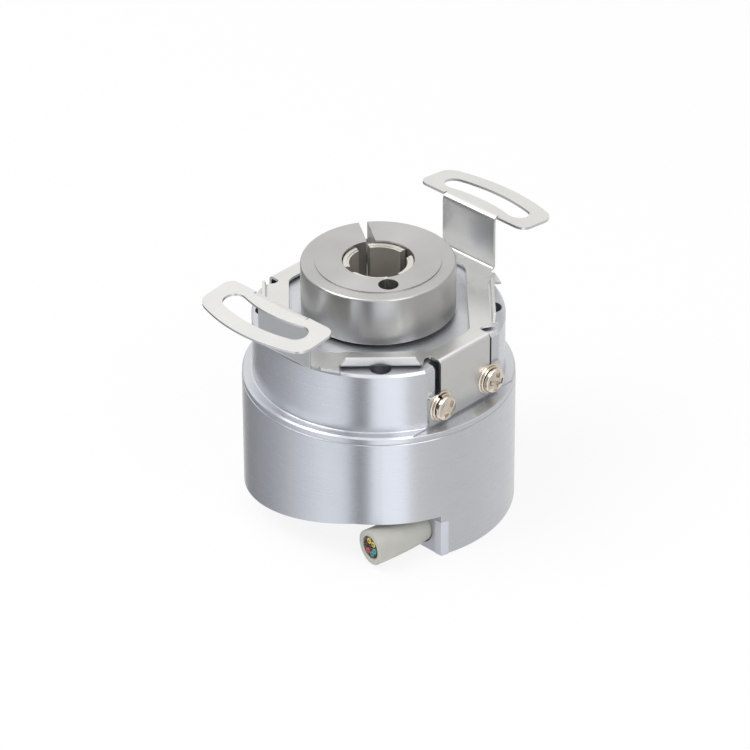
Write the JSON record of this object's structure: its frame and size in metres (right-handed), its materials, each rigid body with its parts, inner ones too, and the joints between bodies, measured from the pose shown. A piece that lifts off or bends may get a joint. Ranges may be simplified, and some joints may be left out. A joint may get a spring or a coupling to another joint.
{
  "type": "rotary encoder",
  "caption": "Small hollow-shaft rotary encoder: round aluminium housing, split clamp ring on the shaft, bent spring plate with slotted tabs, and a side cable outlet.",
  "frame": {"origin": "on the shaft axis, in the plane of the rear cover's underside", "axes": "+Z along the shaft axis from the rear cover to the clamp ring, +Y towards one slotted tab, +X towards the leg on the cable side"},
  "size_m": [0.038, 0.053, 0.0384],
  "materials": {
    "anodised_housing": "satin anodised",
    "spring_sheet": "satin rolled sheet",
    "turned_steel": "fine turned",
    "nickel_hardware": "bright nickel",
    "bearing_steel": "ground bright",
    "brass_turned": "turned",
    "clear_disc": "polished clear",
    "board_green": "solder mask",
    "dark_plastic": "moulded",
    "black_rubber": "moulded",
    "cable_jacket": "extruded",
    "tinned_strand": "braided strand",
    "core_yellow": "extruded",
    "core_teal": "extruded",
    "core_black": "extruded",
    "core_red": "extruded",
    "connector_white": "moulded"
  },
  "bodies": {
    "housing": {"rear_cover": "anodised_housing", "flange_body": "anodised_housing", "spring_plate": "spring_sheet", "outer_spacer": "turned_steel", "retaining_ring": "bearing_steel", "shaft_seal": "black_rubber", "cover_ring": "black_rubber", "circuit_board": "board_green", "led_holder": "dark_plastic", "led": "clear_disc", "detector": "dark_plastic", "detector_mask": "clear_disc", "line_driver": "dark_plastic", "filter_capacitor": "nickel_hardware", "cable_grommet": "black_rubber", "cable_jacket": "cable_jacket", "cable_shield": "tinned_strand", "cable_core_yellow_1": "core_yellow", "cable_core_yellow_2": "core_yellow", "cable_core_teal_1": "core_teal", "cable_core_teal_2": "core_teal", "cable_core_black": "core_black", "cable_core_red": "core_red", "cable_connector": "connector_white", "plate_washer_1": "nickel_hardware", "plate_spring_washer_1": "nickel_hardware", "plate_screw_1": "nickel_hardware", "plate_washer_2": "nickel_hardware", "plate_spring_washer_2": "nickel_hardware", "plate_screw_2": "nickel_hardware", "plate_washer_3": "nickel_hardware", "plate_spring_washer_3": "nickel_hardware", "plate_screw_3": "nickel_hardware", "plate_washer_4": "nickel_hardware", "plate_spring_washer_4": "nickel_hardware", "plate_screw_4": "nickel_hardware", "board_post_1": "brass_turned", "cover_standoff_1": "brass_turned", "cover_screw_1": "nickel_hardware", "board_post_2": "brass_turned", "cover_standoff_2": "brass_turned", "cover_screw_2": "nickel_hardware", "board_post_3": "brass_turned", "cover_standoff_3": "brass_turned", "cover_screw_3": "nickel_hardware", "upper_bearing_outer_ring": "bearing_steel", "lower_bearing_outer_ring": "bearing_steel"},
    "rotor": {"hollow_shaft": "turned_steel", "clamp_ring": "turned_steel", "clamp_screw": "nickel_hardware", "upper_bearing_inner_ring": "bearing_steel", "lower_bearing_inner_ring": "bearing_steel", "inner_spacer": "turned_steel", "disc_hub": "brass_turned", "code_disc": "clear_disc"},
    "upper_cage": {"upper_bearing_cage": "bearing_steel"},
    "lower_cage": {"lower_bearing_cage": "bearing_steel"}
  },
  "joints": [
    {"name": "shaft_spin", "type": "hinge", "parent": "housing", "child": "rotor", "pos_m": [0, 0, 0.02], "axis": [0, 0, 1], "continuous": true},
    {"name": "upper_cage_spin", "type": "hinge", "parent": "housing", "child": "upper_cage", "pos_m": [0, 0, 0.026], "axis": [0, 0, 1], "continuous": true},
    {"name": "lower_cage_spin", "type": "hinge", "parent": "housing", "child": "lower_cage", "pos_m": [0, 0, 0.0187], "axis": [0, 0, 1], "continuous": true}
  ],
  "couplings": [
    {"joint": "upper_cage_spin", "follows": "shaft_spin", "ratio": 0.4424},
    {"joint": "lower_cage_spin", "follows": "shaft_spin", "ratio": 0.4424}
  ]
}
